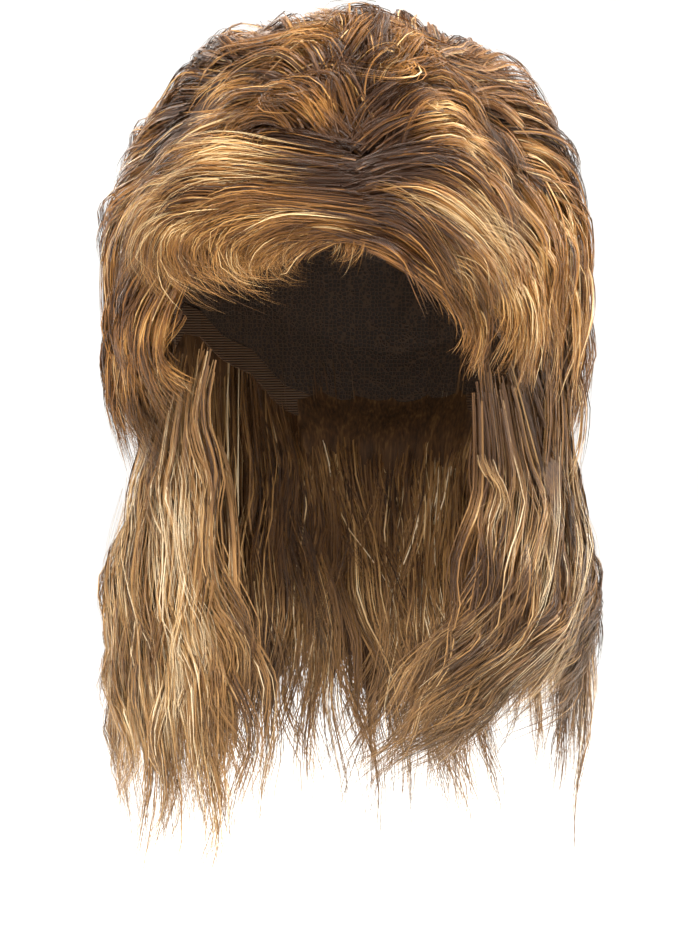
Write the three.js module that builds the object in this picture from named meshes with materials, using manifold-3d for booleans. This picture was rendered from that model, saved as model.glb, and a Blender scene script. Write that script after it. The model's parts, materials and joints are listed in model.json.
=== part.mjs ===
// A mullet wig: a stretch-net cap with an elastic edge band, and wefts of wavy synthetic hair
// in overlapping layers. Short teased layers cover the crown, the fringe and the ears, and long
// tails hang behind the ears and down the back.
//
// The frame is in millimetres, +Z up. The wearer faces -Y, so the wearer's left is +X. The origin
// is the point inside the cap where the top of the head touches it.
import * as THREE from "three";
import { mergeVertices } from "three/addons/utils/BufferGeometryUtils.js";
import Module from "manifold-3d";

const wasm = await Module();
wasm.setup();

// The head that the cap is stretched over.
const HEAD_WIDTH = 158;
const HEAD_LENGTH = 200;
const CROWN_HEIGHT = 105; // top of the head down to its widest level
const ROUNDNESS = 0.86; // 1 is an ellipsoid, and less is squarer at the temples

// The cap.
const NET_WALL = 2;
const BAND_HEIGHT = 12;
const GAP = 0.5; // between any two pieces

// The hair.
const VOLUME = 29; // how far the teased hair stands off the cap at the sides
const COMBED = 1.08; // how much fuller it stands on the wearer's right, where it is combed to
const LAYER_LENGTH = 110; // a short layer, from its weft to its tip
const TAIL_LENGTH = 240; // the long hair, from its weft to its tip
const LOCK_DEPTH = 12; // through a lock of usual thickness

// How finely things are divided.
const CAP_COLUMNS = 28;
const CAP_ROWS = 5;
const NECK_ROWS = 8;
const WALK_STEPS = 20;

const HAIR_COLOUR = 0xa1763f;
const TAIL_COLOUR = 0xa8865c;
const NET_COLOUR = 0x4a3421;
const FIBRE_ROUGHNESS = 0.45;

const UP = new THREE.Vector3(0, 0, 1);
const radians = THREE.MathUtils.degToRad;
const lerp = THREE.MathUtils.lerp;

// The hairline: how far the cap's edge lies below the top of the head, as a share of the crown's
// height, at each bearing from the face. Both sides are alike.
const HAIRLINE = [
  { bearing: 0, drop: 0.66 },
  { bearing: 30, drop: 0.72 },
  { bearing: 55, drop: 0.88 },
  { bearing: 74, drop: 1.16 },
  { bearing: 96, drop: 1.08 },
  { bearing: 122, drop: 1.24 },
  { bearing: 150, drop: 1.5 },
  { bearing: 180, drop: 1.6 },
];

// The form that the hair lies on below the widest level: the head, the neck, then the shoulders.
// Each radius is a share of half the head's width or length; drop is a share of the tail's length.
const DRAPE = [
  { drop: 0, side: 1, front: 1, back: 1 },
  { drop: 0.15, side: 1, front: 0.96, back: 0.93 },
  { drop: 0.32, side: 0.98, front: 0.84, back: 0.78 },
  { drop: 0.55, side: 1.06, front: 0.84, back: 0.76 },
  { drop: 0.8, side: 1.08, front: 0.95, back: 0.86 },
  { drop: 1.1, side: 1.02, front: 1.0, back: 0.92 },
];

// How far the hair stands off the form, as a share of the volume: a dip above the forehead where
// it springs apart, fullest on the crown, and slimmer where the tails hang beside the neck.
const PUFF = [
  { fall: 0, side: 1.05, front: 1.05, back: 1.05 },
  { fall: 0.35, side: 1.08, front: 1.0, back: 0.98 },
  { fall: 0.6, side: 1.05, front: 0.6, back: 0.95 },
  { fall: 0.8, side: 1.0, front: 0.72, back: 0.95 },
  { fall: 1.05, side: 0.98, front: 0.72, back: 0.92 },
  { fall: 1.35, side: 0.94, front: 0.6, back: 0.85 },
  { fall: 1.75, side: 0.8, front: 0.6, back: 0.72 },
  { fall: 2.3, side: 0.9, front: 0.6, back: 0.7 },
  { fall: 3.2, side: 0.7, front: 0.5, back: 0.55 },
];

// Reads a column of a table at a place on its first column, eased between the rows.
function read(table, key, place, column) {
  let row = 0;
  while (row < table.length - 2 && place > table[row + 1][key]) row += 1;
  const from = table[row];
  const to = table[row + 1];
  const share = THREE.MathUtils.clamp((place - from[key]) / (to[key] - from[key]), 0, 1);
  return lerp(from[column], to[column], THREE.MathUtils.smoothstep(share, 0, 1));
}

// A point on the form at a bearing, in degrees from the face towards the wearer's left. fall is 0
// at the top of the head, 1 at its widest level, and grows by 1 for each crown height below that.
function formPoint(bearing, fall) {
  const turn = radians(bearing);
  if (fall <= 1) {
    const tilt = (Math.max(fall, 0) * Math.PI) / 2;
    const spread = Math.sin(tilt) ** ROUNDNESS;
    return new THREE.Vector3(
      (HEAD_WIDTH / 2) * Math.sin(turn) * spread,
      (-HEAD_LENGTH / 2) * Math.cos(turn) * spread,
      CROWN_HEIGHT * (Math.cos(tilt) ** ROUNDNESS - 1),
    );
  }
  const drop = (fall - 1) * CROWN_HEIGHT;
  const share = (column) => read(DRAPE, "drop", drop / TAIL_LENGTH, column);
  const along = Math.cos(turn) > 0 ? share("front") : share("back");
  return new THREE.Vector3(
    (HEAD_WIDTH / 2) * share("side") * Math.sin(turn),
    (-HEAD_LENGTH / 2) * along * Math.cos(turn),
    -CROWN_HEIGHT - drop,
  );
}

// The bearing and fall of the form's point nearest a free point.
function placeOf(point) {
  const x = point.x / (HEAD_WIDTH / 2);
  const y = point.y / (HEAD_LENGTH / 2);
  const z = point.z / CROWN_HEIGHT + 1;
  if (z >= 0) {
    const bearing = THREE.MathUtils.radToDeg(Math.atan2(x, -y));
    const tilt = Math.atan2(Math.hypot(x, y) ** (1 / ROUNDNESS), z ** (1 / ROUNDNESS));
    return { bearing, fall: tilt / (Math.PI / 2) };
  }
  const drop = -z * CROWN_HEIGHT;
  const share = (column) => read(DRAPE, "drop", drop / TAIL_LENGTH, column);
  const along = y < 0 ? share("front") : share("back");
  return { bearing: THREE.MathUtils.radToDeg(Math.atan2(x / share("side"), -y / along)), fall: 1 - z };
}

// The form's outward direction at a place.
function outward(bearing, fall) {
  const step = 0.01;
  if (fall < step) return UP.clone();
  const down = formPoint(bearing, fall + step).sub(formPoint(bearing, fall - step));
  const round = formPoint(bearing + 1, fall).sub(formPoint(bearing - 1, fall));
  return down.cross(round).normalize();
}

function lifted(bearing, fall, height) {
  return formPoint(bearing, fall).addScaledVector(outward(bearing, fall), height);
}

// The fall at which the cap's edge lies.
function hairline(bearing) {
  const turn = Math.abs(((bearing + 540) % 360) - 180);
  const drop = read(HAIRLINE, "bearing", turn, "drop");
  return drop > 1 ? drop : Math.acos((1 - drop) ** (1 / ROUNDNESS)) / (Math.PI / 2);
}

// The height of the hair's outer form over the head's form at a place.
function puff(bearing, fall) {
  const facing = Math.cos(radians(bearing));
  const side = read(PUFF, "fall", fall, "side");
  const share = lerp(side, read(PUFF, "fall", fall, facing > 0 ? "front" : "back"), facing ** 2);
  const towards = Math.max(-Math.sin(radians(bearing)), 0) * (1 - THREE.MathUtils.smoothstep(fall, 1, 1.6));
  return VOLUME * share * lerp(1, COMBED, towards);
}

// A repeatable number from 0 to 1 for each seed.
function chance(seed) {
  const value = Math.sin(seed * 12.9898 + 4.1) * 43758.5453;
  return value - Math.floor(value);
}

// A closed solid from points and triangles, with points at one place merged.
function solid(points, triangles) {
  const raw = new THREE.BufferGeometry();
  raw.setAttribute("position", new THREE.Float32BufferAttribute(points.flatMap((p) => p.toArray()), 3));
  raw.setIndex(triangles.flat());
  const merged = mergeVertices(raw, 1e-3);
  const corners = merged.index.array;
  const kept = [];
  for (let i = 0; i < corners.length; i += 3) {
    const [a, b, c] = corners.subarray(i, i + 3);
    if (a !== b && b !== c && c !== a) kept.push(a, b, c);
  }
  return new wasm.Manifold(
    new wasm.Mesh({
      numProp: 3,
      vertProperties: merged.getAttribute("position").array,
      triVerts: new Uint32Array(kept),
    }),
  );
}

// A wall between an outer and an inner grid of points, both rows of columns, seen from outside
// with rows running down and columns running towards the wearer's left.
function wall(outer, inner, closedRound) {
  const rows = outer.length;
  const columns = outer[0].length;
  const points = [...outer.flat(), ...inner.flat()];
  const out = (r, c) => r * columns + (c % columns);
  const into = (r, c) => rows * columns + out(r, c);
  const triangles = [];
  const quad = (a, b, c, d) => triangles.push([a, b, c], [a, c, d]);
  const last = closedRound ? columns : columns - 1;
  for (let r = 0; r < rows - 1; r += 1) {
    for (let c = 0; c < last; c += 1) {
      quad(out(r, c), out(r + 1, c), out(r + 1, c + 1), out(r, c + 1));
      quad(into(r, c), into(r, c + 1), into(r + 1, c + 1), into(r + 1, c));
    }
  }
  for (let c = 0; c < last; c += 1) {
    quad(out(0, c), out(0, c + 1), into(0, c + 1), into(0, c));
    quad(out(rows - 1, c), into(rows - 1, c), into(rows - 1, c + 1), out(rows - 1, c + 1));
  }
  if (!closedRound) {
    for (let r = 0; r < rows - 1; r += 1) {
      quad(out(r, 0), into(r, 0), into(r + 1, 0), out(r + 1, 0));
      quad(out(r, last), out(r + 1, last), into(r + 1, last), into(r, last));
    }
  }
  return solid(points, triangles);
}

// A patch of wall on the form, from base to height over it. top and bottom give the fall at a
// bearing. grown widens the patch all round, for cutting room for it in a neighbour.
function patch({ from, to, columns, rows, top, bottom, base, height }, grown = 0) {
  const closedRound = to - from >= 360;
  const count = closedRound ? columns : columns + 1;
  const spare = closedRound ? 0 : THREE.MathUtils.radToDeg(grown / (HEAD_WIDTH / 2));
  const grid = (rise) =>
    Array.from({ length: rows + 1 }, (_, r) =>
      Array.from({ length: count }, (_, c) => {
        const bearing = lerp(from - spare, to + spare, c / columns);
        const upper = Math.max(top(bearing) - grown / CROWN_HEIGHT, 0);
        const fall = lerp(upper, bottom(bearing) + grown / CROWN_HEIGHT, r / rows);
        return lifted(bearing, fall, rise(bearing, fall));
      }),
    );
  return wall(grid((b, f) => height(b, f) + grown), grid(() => base), closedRound);
}

// The point above the forehead that the short layers spring from.
const SPRING = { bearing: 4, fall: 0.58 };

// Walks over the form from a place and gives stops from root to tip. heading turns the start from
// straight up the form, anticlockwise seen from outside, so 180 hangs. The walk then bends by curl
// degrees and sinks by droop. start is how far from the place the hair's root lies.
function walk({ bearing, fall, heading, curl, droop, start, length }) {
  let point = formPoint(bearing, fall);
  const direction = UP.clone();
  const path = [];
  for (let step = -1; step <= WALK_STEPS; step += 1) {
    const place = placeOf(point);
    const normal = outward(place.bearing, place.fall);
    direction.projectOnPlane(normal).normalize();
    direction.applyAxisAngle(normal, radians(step < 0 ? heading : curl / WALK_STEPS));
    const onForm = formPoint(place.bearing, place.fall);
    path.push({ point: onForm, normal, direction: direction.clone(), puff: puff(place.bearing, place.fall) });
    point = onForm.clone().addScaledVector(direction, step < 0 ? start : length / WALK_STEPS);
    direction.addScaledVector(UP, -droop / WALK_STEPS);
  }
  return path.slice(1);
}

// A ply: locks side by side, as sewn on one weft. Each lock is a ridge with a long tip between two
// grooves whose hair ends sooner, and so bends less. grown widens the ply all round.
const GROOVE_HEIGHT = 0.8; // shares of a ridge's height and length
const GROOVE_LENGTH = 0.76;
const UNEVEN_HEIGHT = 0.2; // how much one lock differs from the next, as shares
const UNEVEN_LENGTH = 0.24;
const RISE_SHARE = 0.4; // share of the length over which a lock rises from its root
const TIP_DEPTH = 0.18; // share of a lock's depth left at its tip
function ply(row, seed, grown) {
  const columns = 2 * row.locks;
  const between = (name, share) => lerp(row[name][0], row[name][1], share);
  const lines = Array.from({ length: columns + 1 }, (_, c) => {
    const share = c / columns;
    const ridge = c % 2 === 1;
    const vary = chance(seed + c) - 0.5;
    const reach = ridge ? 1 + UNEVEN_LENGTH * vary : GROOVE_LENGTH;
    const path = walk({
      bearing: between("bearing", share),
      fall: between("fall", share),
      heading: between("heading", share),
      curl: row.curl * reach,
      droop: row.droop * reach,
      start: row.start - grown,
      length: between("length", share) * reach + 2 * grown,
    });
    const edge = c === 0 ? -1 : Number(c === columns);
    return Array.from({ length: row.rows + 1 }, (__, r) => {
      const along = r / row.rows;
      const at = path[Math.round(along * WALK_STEPS)];
      const lift = lerp(row.root, row.lift, THREE.MathUtils.smoothstep(along, 0, RISE_SHARE));
      const crest = lift * (1 + UNEVEN_HEIGHT * vary) * (ridge ? 1 : GROOVE_HEIGHT) + row.flick * along ** 4;
      const depth = LOCK_DEPTH * row.depth * lerp(1, TIP_DEPTH, along ** 3);
      const top = SEAT + at.puff * crest;
      const seated = THREE.MathUtils.smoothstep(along, 0, row.seated);
      const across = at.direction.clone().cross(at.normal).normalize();
      const place = at.point.clone().addScaledVector(across, -edge * grown);
      return {
        outer: place.clone().addScaledVector(at.normal, top + grown),
        inner: place.clone().addScaledVector(at.normal, lerp(INSIDE, top - depth, seated) - grown),
      };
    });
  });
  const grid = (side) => Array.from({ length: row.rows + 1 }, (_, r) => lines.map((line) => line[r][side]));
  const made = wall(grid("outer"), grid("inner"), false);
  return made.volume() < 0 ? wall(grid("inner"), grid("outer"), false) : made;
}

// Where the pieces meet each other on the cap.
const CROWN_EDGE = 0.62; // fall of the crown's edge
const FACE_EDGE = 56; // bearing where the fringe meets the sides
const EAR_EDGE = 100; // bearing where the sides meet the back
const NAPE_EDGE = 1.04; // fall of the back layer's edge on the cap
const TAIL_EDGE = 142; // bearing where the side tails meet the back one
const seamTurn = THREE.MathUtils.radToDeg(GAP / (HEAD_WIDTH / 2));
const seamFall = GAP / CROWN_HEIGHT;
const SEAT = NET_WALL + GAP;
const INSIDE = -3; // hair starts within the room for the head, which then cuts it
const BED_SHARE = 0.66; // how much of the hair's height is packed under its locks
const packed = (bearing, fall) => SEAT + BED_SHARE * puff(bearing, fall);

// The hair, from the cap outwards. A bed is hair packed on the cap; its from and to are bearings.
// In a ply, bearing, fall and heading run from its first lock to its last; root, lift and flick are
// shares of the hair's height at the root, along the lock and at its tip, depth is a share of a
// lock's, and seated is the share of the length that reaches down to the cap.
const SHORT = LAYER_LENGTH;
const LONG = TAIL_LENGTH;
const bed = (from, to, columns, rows, top, bottom) => ({
  from,
  to,
  columns,
  rows,
  top,
  bottom,
  base: INSIDE,
  height: packed,
});
const belowCrown = () => CROWN_EDGE + seamFall;
const spring = { bearing: [SPRING.bearing, SPRING.bearing], fall: [SPRING.fall, SPRING.fall], seated: 1 };
const HAIR = [
  {
    name: "tail_back",
    colour: TAIL_COLOUR,
    beds: [],
    plies: [
      {
        bearing: [TAIL_EDGE, 360 - TAIL_EDGE], fall: [1.02, 1.02], heading: [180, 180], locks: 6,
        rows: 6,
        start: 0, length: [LONG, LONG], curl: 0, droop: 0, root: 0.75, lift: 0.8, flick: 0, depth: 1.3,
        seated: 0.3,
      },
      {
        bearing: [TAIL_EDGE + 6, 354 - TAIL_EDGE], fall: [1.2, 1.2], heading: [180, 180], locks: 5,
        rows: 5,
        start: 0, length: [LONG * 0.7, LONG * 0.7], curl: 6, droop: 0, root: 0.7, lift: 1.05,
        flick: -0.1, depth: 1, seated: 0.1,
      },
    ],
  },
  {
    name: "tail_left",
    colour: TAIL_COLOUR,
    beds: [],
    plies: [
      {
        bearing: [EAR_EDGE - 2, TAIL_EDGE], fall: [1.02, 1.02], heading: [180, 180], locks: 4, rows: 6,
        start: 0, length: [LONG * 0.9, LONG], curl: -6, droop: 0, root: 0.75, lift: 0.85, flick: 0,
        depth: 1.3, seated: 0.2,
      },
      {
        bearing: [EAR_EDGE - 4, 130], fall: [1.15, 1.45], heading: [178, 194], locks: 3, rows: 8,
        start: 0, length: [LONG * 0.95, LONG], curl: -74, droop: 0, root: 0.7, lift: 1.1, flick: -0.3,
        depth: 1.2, seated: 0.1,
      },
    ],
  },
  {
    name: "tail_right",
    colour: TAIL_COLOUR,
    beds: [],
    plies: [
      {
        bearing: [-TAIL_EDGE, -EAR_EDGE + 10], fall: [1.02, 1.02], heading: [180, 186], locks: 5,
        rows: 6,
        start: 0, length: [LONG, LONG], curl: 4, droop: 0, root: 0.75, lift: 0.85, flick: 0,
        depth: 1.3, seated: 0.2,
      },
      {
        bearing: [-120, -74], fall: [1.25, 1.12], heading: [184, 216], locks: 5, rows: 6,
        start: 0, length: [LONG * 0.92, LONG * 0.92], curl: -24, droop: 0, root: 0.7, lift: 1.1,
        flick: -0.1, depth: 1.2, seated: 0.1,
      },
    ],
  },
  {
    name: "back_layer",
    colour: HAIR_COLOUR,
    beds: [
      bed(EAR_EDGE + seamTurn, 360 - EAR_EDGE - seamTurn, 10, 2, belowCrown, () => NAPE_EDGE - seamFall),
    ],
    plies: [
      {
        bearing: [EAR_EDGE + 3, 357 - EAR_EDGE], fall: [0.84, 0.84], heading: [180, 180], locks: 9,
        rows: 3,
        start: 0, length: [SHORT, SHORT], curl: 5, droop: 0, root: 0.8, lift: 1.02, flick: 0.08,
        depth: 1.4, seated: 0.2,
      },
    ],
  },
  {
    name: "side_left",
    colour: HAIR_COLOUR,
    beds: [bed(FACE_EDGE + seamTurn, EAR_EDGE, 4, 2, belowCrown, hairline)],
    plies: [
      {
        bearing: [FACE_EDGE + 2, 116], fall: [0.76, 0.84], heading: [194, 182], locks: 5, rows: 4,
        start: 0, length: [SHORT * 0.6, SHORT * 0.8], curl: -14, droop: 0, root: 0.8, lift: 1,
        flick: 0.2, depth: 1.4, seated: 0.3,
      },
    ],
  },
  {
    name: "side_right",
    colour: HAIR_COLOUR,
    beds: [bed(-EAR_EDGE, -FACE_EDGE - seamTurn, 4, 2, belowCrown, hairline)],
    plies: [
      {
        bearing: [-116, -FACE_EDGE - 2], fall: [0.84, 0.76], heading: [180, 174], locks: 6, rows: 4,
        start: 0, length: [SHORT, SHORT], curl: 24, droop: 0, root: 0.8, lift: 1, flick: 0.1,
        depth: 1.4, seated: 0.3,
      },
    ],
  },
  {
    name: "fringe",
    colour: HAIR_COLOUR,
    beds: [bed(-FACE_EDGE, FACE_EDGE, 8, 2, belowCrown, hairline)],
    plies: [
      {
        ...spring, heading: [88, 178], locks: 6, rows: 3,
        start: 6, length: [SHORT * 0.95, SHORT * 0.24], curl: 60, droop: 0, root: 0.7, lift: 1.35,
        flick: 0, depth: 1.4,
      },
      {
        ...spring, heading: [-176, -92], locks: 4, rows: 3,
        start: 6, length: [SHORT * 0.26, SHORT * 0.95], curl: -40, droop: 0, root: 0.7, lift: 1.2,
        flick: 0, depth: 1.4,
      },
    ],
  },
  {
    name: "crown",
    colour: HAIR_COLOUR,
    beds: [bed(0, 360, 16, 3, () => 0, () => CROWN_EDGE)],
    plies: [
      {
        bearing: [100, 260], fall: [0.32, 0.32], heading: [180, 180], locks: 7, rows: 3,
        start: 0, length: [SHORT, SHORT], curl: 4, droop: 0, root: 0.75, lift: 1.02, flick: 0.08,
        depth: 1.4, seated: 0.5,
      },
      {
        ...spring, heading: [-100, 100], locks: 8, rows: 3,
        start: 30, length: [SHORT, SHORT], curl: 0, droop: 1, root: 0.75, lift: 1.08, flick: 0.05,
        depth: 1.8,
      },
      {
        ...spring, heading: [-84, 84], locks: 6, rows: 3,
        start: 8, length: [SHORT * 0.7, SHORT * 0.7], curl: 0, droop: 0, root: 0.7, lift: 1.05,
        flick: 0, depth: 1.4,
      },
    ],
  },
];

const netEdge = (bearing) => hairline(bearing) - BAND_HEIGHT / CROWN_HEIGHT;
const ROUND = { from: 0, to: 360, columns: CAP_COLUMNS, base: 0, height: () => NET_WALL };
const CAP = [
  { name: "cap_net", wall: { ...ROUND, rows: CAP_ROWS, top: () => 0, bottom: netEdge } },
  { name: "edge_band", wall: { ...ROUND, rows: 1, top: (b) => netEdge(b) + seamFall, bottom: hairline } },
];

// The room for the head, the neck and the cap, which no hair reaches into.
const LOWEST_SHARE = 1.2; // its depth below the widest level, as a share of the tail's length
function headRoom() {
  const lowest = 1 + (LOWEST_SHARE * TAIL_LENGTH) / CROWN_HEIGHT;
  const ring = (fall) =>
    Array.from({ length: CAP_COLUMNS }, (_, c) => formPoint((c / CAP_COLUMNS) * 360, fall));
  const neck = Array.from({ length: NECK_ROWS }, (_, r) => lerp(0.9, lowest, r / (NECK_ROWS - 1)));
  const room = tube([0.02, 0.3, 0.6, ...neck].map(ring));
  return CAP.reduce((whole, { wall: shape }) => whole.add(patch({ ...shape, base: 2 * INSIDE }, GAP)), room);
}

// A solid through rings of points, closed by a fan at each end.
function tube(rings) {
  const sides = rings[0].length;
  const triangles = [];
  for (let r = 0; r < rings.length - 1; r += 1) {
    for (let s = 0; s < sides; s += 1) {
      const a = r * sides + s;
      const b = r * sides + ((s + 1) % sides);
      triangles.push([a, a + sides, b + sides], [a, b + sides, b]);
    }
  }
  const end = (rings.length - 1) * sides;
  for (let s = 1; s < sides - 1; s += 1) {
    triangles.push([0, s, s + 1], [end, end + s + 1, end + s]);
  }
  return solid(rings.flat(), triangles);
}

// All of one piece's hair as one solid: its beds, with its plies rooted in them.
function hairSolid(piece, seed, grown) {
  const parts = [
    ...piece.beds.map((bed) => patch(bed, grown)),
    ...piece.plies.map((row, i) => ply(row, seed + 40 * i, grown)),
  ];
  return parts.reduce((whole, part) => whole.add(part));
}

// Outer hair that is cut back by what lies under it may leave loose slivers and pockets, which go,
// and slivers of triangles along the cut, which are closed up.
const FINEST = 0.05; // the finest detail that is kept
function largestBody(made) {
  return made.decompose().reduce((a, b) => (a.volume() > b.volume() ? a : b)).asOriginal().simplify(FINEST);
}

function show(name, made, colour) {
  const mesh = made.getMesh();
  const geometry = new THREE.BufferGeometry();
  geometry.setAttribute("position", new THREE.BufferAttribute(mesh.vertProperties, 3));
  geometry.setIndex(new THREE.BufferAttribute(mesh.triVerts, 1));
  const node = new THREE.Mesh(
    geometry,
    new THREE.MeshStandardMaterial({ color: colour, roughness: FIBRE_ROUGHNESS, metalness: 0 }),
  );
  node.name = name;
  return node;
}

const wig = new THREE.Group();
CAP.forEach(({ name, wall: shape }) => wig.add(show(name, patch(shape), NET_COLOUR)));
let taken = headRoom();
HAIR.forEach((piece, i) => {
  const seed = 100 * (i + 1);
  const made = largestBody(hairSolid(piece, seed, 0).subtract(taken));
  wig.add(show(piece.name, made, piece.colour));
  taken = taken.add(hairSolid(piece, seed, GAP));
});

export default wig;
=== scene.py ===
# %% [markdown]
# # A mullet wig
# The wig is a stretch-net cap with an elastic edge. Rows of machine-sewn wefts carry short teased
# hair on the crown, the fringe and the sides, and long hair behind the ears and at the nape.
# The frame gives the size and place of each part. Everything here is dressed onto it.

# %% Load the frame
import json
import math

import bmesh
import bpy
import numpy as np
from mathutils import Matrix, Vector

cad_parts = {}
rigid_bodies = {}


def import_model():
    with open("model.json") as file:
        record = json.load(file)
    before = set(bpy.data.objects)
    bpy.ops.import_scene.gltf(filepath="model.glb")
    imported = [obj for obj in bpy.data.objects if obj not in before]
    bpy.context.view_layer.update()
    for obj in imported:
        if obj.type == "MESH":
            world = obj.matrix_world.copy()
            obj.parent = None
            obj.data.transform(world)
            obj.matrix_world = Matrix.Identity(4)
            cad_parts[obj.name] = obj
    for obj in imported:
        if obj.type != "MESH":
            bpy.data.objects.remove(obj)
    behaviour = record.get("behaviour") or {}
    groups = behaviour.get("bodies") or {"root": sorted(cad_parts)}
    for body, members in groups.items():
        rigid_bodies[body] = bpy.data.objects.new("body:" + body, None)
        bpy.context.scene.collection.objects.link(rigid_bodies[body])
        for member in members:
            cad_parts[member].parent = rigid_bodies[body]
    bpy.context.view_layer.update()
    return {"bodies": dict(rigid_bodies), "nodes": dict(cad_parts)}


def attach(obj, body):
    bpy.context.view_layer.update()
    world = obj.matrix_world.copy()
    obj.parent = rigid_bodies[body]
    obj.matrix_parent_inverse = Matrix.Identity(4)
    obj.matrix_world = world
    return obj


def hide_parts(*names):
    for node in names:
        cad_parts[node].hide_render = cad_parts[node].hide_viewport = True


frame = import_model()
ROOT = next(iter(frame["bodies"]))
MM = 0.001

# %% [markdown]
# ## The form under the hair
# Worn hair lies on a rounded shape that narrows under the cap and widens again further down. So
# every lock is placed on a smooth form like that, by a bearing round it and a fall from its top, and
# then lifted off it. The sizes are those of the frame's cap, in millimetres, and the tables are
# shares of them. An array of places is worked out at once, which keeps thousands of locks quick.

# %% The form
HEAD_WIDTH = 158.0
HEAD_LENGTH = 200.0
CROWN_HEIGHT = 105.0
ROUNDNESS = 0.86
TAIL_LENGTH = 240.0
LAYER_LENGTH = 110.0
SEAT = 2.5
VOLUME = 29.0
COMBED = 1.08

# Share of the tail's length below the widest level, then radii as shares of the head's.
DRAPE = np.array([
    # drop, side, front, back
    (0.00, 1.00, 1.00, 1.00),
    (0.15, 1.00, 0.96, 0.93),
    (0.32, 0.98, 0.84, 0.78),
    (0.55, 1.06, 0.84, 0.76),
    (0.80, 1.08, 0.95, 0.86),
    (1.10, 1.02, 1.00, 0.92),
])
# The height of the hair's outer form, as shares of the volume.
PUFF = np.array([
    # fall, side, front, back
    (0.00, 1.05, 1.05, 1.05),
    (0.35, 1.08, 1.00, 0.98),
    (0.60, 1.05, 0.60, 0.95),
    (0.80, 1.00, 0.72, 0.95),
    (1.05, 0.98, 0.72, 0.92),
    (1.35, 0.94, 0.60, 0.85),
    (1.75, 0.80, 0.60, 0.72),
    (2.30, 0.90, 0.60, 0.70),
    (3.20, 0.70, 0.50, 0.55),
])


def smooth(x, low=0.0, high=1.0):
    x = np.clip((x - low) / (high - low), 0.0, 1.0)
    return x * x * (3.0 - 2.0 * x)


def read(table, place, column):
    """A column of a table at places on its first column, eased between the rows."""
    place = np.asarray(place, dtype=float)
    row = np.clip(np.searchsorted(table[:, 0], place, side="left") - 1, 0, len(table) - 2)
    low, high = table[row, 0], table[row + 1, 0]
    share = smooth((place - low) / (high - low))
    return table[row, column] * (1.0 - share) + table[row + 1, column] * share


def form_point(bearing, fall):
    """Points on the form. Bearing is in degrees from the front towards the wearer's left."""
    turn = np.radians(bearing)
    tilt = np.clip(fall, 0.0, 1.0) * np.pi / 2
    spread = np.sin(tilt) ** ROUNDNESS
    drop = np.maximum(fall - 1.0, 0.0) * CROWN_HEIGHT
    share = drop / TAIL_LENGTH
    along = np.where(np.cos(turn) > 0, read(DRAPE, share, 2), read(DRAPE, share, 3))
    x = HEAD_WIDTH / 2 * np.sin(turn) * spread * read(DRAPE, share, 1)
    y = -HEAD_LENGTH / 2 * np.cos(turn) * spread * along
    z = CROWN_HEIGHT * (np.clip(np.cos(tilt), 0, 1) ** ROUNDNESS - 1.0) - drop
    return np.stack([x, y, z], axis=-1)


def place_of(point):
    """The bearing and fall of the form's point nearest to each free point."""
    x = point[..., 0] / (HEAD_WIDTH / 2)
    y = point[..., 1] / (HEAD_LENGTH / 2)
    z = point[..., 2] / CROWN_HEIGHT + 1.0
    up = np.maximum(z, 0.0)
    flat = np.hypot(x, y)
    tilt = np.arctan2(flat ** (1 / ROUNDNESS), up ** (1 / ROUNDNESS))
    share = np.maximum(-z, 0.0) * CROWN_HEIGHT / TAIL_LENGTH
    along = np.where(y < 0, read(DRAPE, share, 2), read(DRAPE, share, 3))
    bearing = np.degrees(np.arctan2(x / read(DRAPE, share, 1), -y / along))
    return bearing, np.where(z >= 0, tilt / (np.pi / 2), 1.0 - z)


def unit(v):
    return v / np.maximum(np.linalg.norm(v, axis=-1, keepdims=True), 1e-9)


def outward(bearing, fall):
    step = 0.01
    low = np.maximum(fall, step)
    down = form_point(bearing, low + step) - form_point(bearing, low - step)
    around = form_point(bearing + 1.0, low) - form_point(bearing - 1.0, low)
    return unit(np.cross(down, around))


def puff(bearing, fall):
    facing = np.cos(np.radians(bearing))
    ends = np.where(facing > 0, read(PUFF, fall, 2), read(PUFF, fall, 3))
    side = read(PUFF, fall, 1)
    share = side + (ends - side) * facing ** 2
    towards = np.maximum(-np.sin(np.radians(bearing)), 0.0) * (1.0 - smooth(fall, 1.0, 1.6))
    return VOLUME * share * (1.0 + (COMBED - 1.0) * towards)


# %% [markdown]
# ## Locks from wefts
# A wig-maker's weft is a row of hair sewn in a line. Here each row of the table is a few wefts: its
# locks walk over the form in their heading, and lift off it as they go. The walk turns by curl
# degrees on its way and sinks by droop. Hair on the back of the crown is combed away from a spring
# at its front. Where the comb's work shows, a few locks of a row are drawn as bearings and falls
# instead, and those between are blends of their neighbours.

# %% Walking the locks
SPRING = (19.0, 0.57)
# Places by the crown's spring. Tones are darker around them: partly the roots' colour, partly painted shade.
DARK_ROOTS_AND_SHADE = [(20.0, 0.52), (16.0, 0.74)]
STEPS = 16
UP = np.array([0.0, 0.0, 1.0])


def turned(v, axis, degrees):
    """Vectors turned about unit axes, as Rodrigues' formula has it."""
    a = np.radians(degrees)[..., None]
    dot = np.sum(v * axis, axis=-1, keepdims=True)
    return v * np.cos(a) + np.cross(axis, v) * np.sin(a) + axis * dot * (1.0 - np.cos(a))


def spread(pair, share):
    return pair[0] + (pair[1] - pair[0]) * share


def flat_on(normal, v):
    return unit(v - normal * np.sum(v * normal, axis=-1, keepdims=True))


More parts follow.
